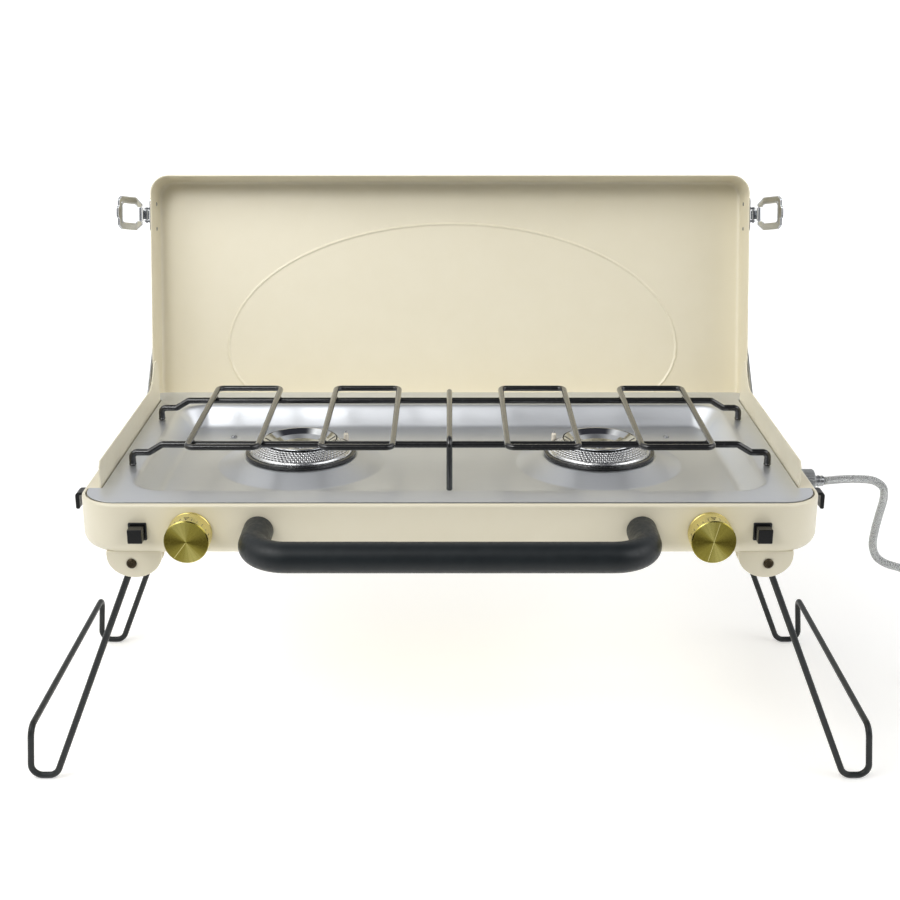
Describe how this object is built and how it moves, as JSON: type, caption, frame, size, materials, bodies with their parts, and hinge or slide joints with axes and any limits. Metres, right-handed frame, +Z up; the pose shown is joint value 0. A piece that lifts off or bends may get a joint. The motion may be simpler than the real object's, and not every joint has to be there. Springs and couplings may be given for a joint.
{
  "type": "camping stove",
  "caption": "Folding two-burner gas camping stove with a hinged lid, wire grate, brass knobs, tubular handle, wire legs and a braided gas hose.",
  "frame": {"origin": "on the floor under the middle of the stove's bounding box, measured without the gas hose and what is on it", "axes": "+X to the stove's right as seen from the front, +Y to the back, where the lid stands, +Z up"},
  "size_m": [0.9137, 0.5047, 0.4609],
  "materials": {
    "cream_paint": "semi-gloss cream paint",
    "plate_metal": "satin silver-grey",
    "black_enamel": "black enamel, slightly glossy",
    "handle_black": "matt black sleeve",
    "stainless": "bright stainless steel",
    "chrome": "polished",
    "cast_dark": "dark cast metal",
    "ceramic": "glazed ceramic",
    "brass": "spun brass",
    "black_plastic": "black moulded plastic",
    "dark_steel": "dark grey coated steel",
    "braid": "braided steel"
  },
  "bodies": {
    "base": {"base_tray": "cream_paint", "leg_bracket_left": "cream_paint", "leg_bracket_right": "cream_paint", "top_plate": "plate_metal", "burner_ring_left": "black_enamel", "burner_ring_right": "black_enamel", "keeper_left": "black_enamel", "keeper_right": "black_enamel", "handle": "handle_black", "burner_band_left": "stainless", "burner_cap_left": "chrome", "burner_cup_left": "cast_dark", "electrode_left": "ceramic", "mixing_tube_left": "stainless", "valve_body_left": "brass", "igniter_body_left": "black_plastic", "leg_pin_front_left": "dark_steel", "leg_pin_rear_left": "dark_steel", "lid_pivot_left": "stainless", "burner_band_right": "stainless", "burner_cap_right": "chrome", "burner_cup_right": "cast_dark", "electrode_right": "ceramic", "mixing_tube_right": "stainless", "valve_body_right": "brass", "igniter_body_right": "black_plastic", "leg_pin_front_right": "dark_steel", "leg_pin_rear_right": "dark_steel", "lid_pivot_right": "stainless", "manifold_pipe": "stainless", "inlet_collar": "stainless", "gas_hose": "braid", "hose_coil": "braid", "regulator": "brass"},
    "grate": {"grate_rail_front": "black_enamel", "grate_rail_back": "black_enamel", "grate_loop_1": "black_enamel", "grate_loop_2": "black_enamel", "grate_loop_3": "black_enamel", "grate_loop_4": "black_enamel", "grate_centre": "black_enamel"},
    "lid": {"lid": "cream_paint", "lid_arm_left": "stainless", "lid_arm_right": "stainless", "latch_plate_left": "chrome", "latch_plate_right": "chrome"},
    "leg_left": {"leg_left": "dark_steel"},
    "knob_left": {"knob_left": "brass", "valve_stem_left": "stainless"},
    "igniter_button_left": {"igniter_button_left": "black_plastic"},
    "latch_lever_left": {"latch_lever_left": "chrome"},
    "latch_loop_left": {"latch_loop_left": "chrome"},
    "leg_right": {"leg_right": "dark_steel"},
    "knob_right": {"knob_right": "brass", "valve_stem_right": "stainless"},
    "igniter_button_right": {"igniter_button_right": "black_plastic"},
    "latch_lever_right": {"latch_lever_right": "chrome"},
    "latch_loop_right": {"latch_loop_right": "chrome"}
  },
  "joints": [
    {"name": "lid_hinge", "type": "hinge", "parent": "base", "child": "lid", "pos_m": [0, 0.11265, 0.2193], "axis": [1, 0, 0], "range_deg": [0, 104]},
    {"name": "grate_lift", "type": "slide", "parent": "base", "child": "grate", "axis": [0, 0, 1], "range_m": [0, 0.12]},
    {"name": "leg_left_fold", "type": "hinge", "parent": "base", "child": "leg_left", "pos_m": [-0.256, -0.03235, 0.2015], "axis": [0, -1, 0], "range_deg": [0, 108]},
    {"name": "knob_left_turn", "type": "hinge", "parent": "base", "child": "knob_left", "pos_m": [-0.206, -0.19235, 0.2306], "axis": [0, -1, 0], "range_deg": [0, 210]},
    {"name": "igniter_left_push", "type": "slide", "parent": "base", "child": "igniter_button_left", "axis": [0, 1, 0], "range_m": [0, 0.0045], "stiffness_N_per_m": 800, "springref_m": -0.004},
    {"name": "latch_lever_left_swing", "type": "hinge", "parent": "lid", "child": "latch_lever_left", "pos_m": [-0.3055, 0.209, 0.42098], "axis": [0, 0.2419, 0.9703], "range_deg": [-50, 34]},
    {"name": "latch_loop_left_swing", "type": "hinge", "parent": "latch_lever_left", "child": "latch_loop_left", "pos_m": [-0.30997, 0.20257, 0.42259], "axis": [0, 0.2419, 0.9703], "range_deg": [-40, 5]},
    {"name": "leg_right_fold", "type": "hinge", "parent": "base", "child": "leg_right", "pos_m": [0.256, -0.03235, 0.2015], "axis": [0, 1, 0], "range_deg": [0, 108]},
    {"name": "knob_right_turn", "type": "hinge", "parent": "base", "child": "knob_right", "pos_m": [0.206, -0.19235, 0.2306], "axis": [0, -1, 0], "range_deg": [0, 210]},
    {"name": "igniter_right_push", "type": "slide", "parent": "base", "child": "igniter_button_right", "axis": [0, 1, 0], "range_m": [0, 0.0045], "stiffness_N_per_m": 800, "springref_m": -0.004},
    {"name": "latch_lever_right_swing", "type": "hinge", "parent": "lid", "child": "latch_lever_right", "pos_m": [0.3055, 0.209, 0.42098], "axis": [0, -0.2419, -0.9703], "range_deg": [-50, 34]},
    {"name": "latch_loop_right_swing", "type": "hinge", "parent": "latch_lever_right", "child": "latch_loop_right", "pos_m": [0.30997, 0.20257, 0.42259], "axis": [0, -0.2419, -0.9703], "range_deg": [-40, 5]}
  ]
}
